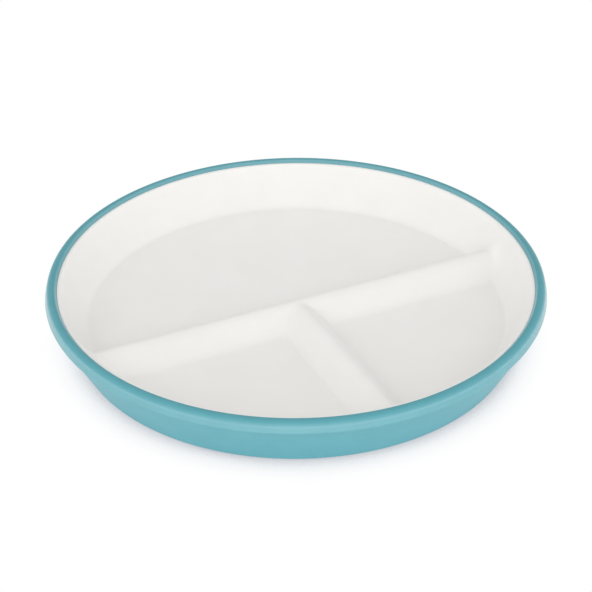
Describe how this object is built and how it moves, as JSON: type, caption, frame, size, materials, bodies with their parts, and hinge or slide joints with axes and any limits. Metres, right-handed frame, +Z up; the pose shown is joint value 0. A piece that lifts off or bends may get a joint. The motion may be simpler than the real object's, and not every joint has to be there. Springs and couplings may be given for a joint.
{
  "type": "divided plate",
  "caption": "Round divided plate: a rigid dished plate with a T of raised dividers, seated in a soft outer sleeve with a rolled rim and a foot ring.",
  "frame": {"origin": "middle of the foot ring's underside, on the surface that the plate stands on", "axes": "+Z up, +X along the long divider, -Y along the short divider, from the long one out to the wall"},
  "size_m": [0.2, 0.2, 0.025],
  "materials": {
    "sleeve_silicone": "satin",
    "plate_plastic": "satin"
  },
  "bodies": {
    "sleeve": {"outer_sleeve": "sleeve_silicone"},
    "plate": {"inner_plate": "plate_plastic"}
  },
  "joints": [
    {"name": "plate_lift", "type": "slide", "parent": "sleeve", "child": "plate", "axis": [0, 0, 1], "range_m": [0, 0.04]}
  ]
}
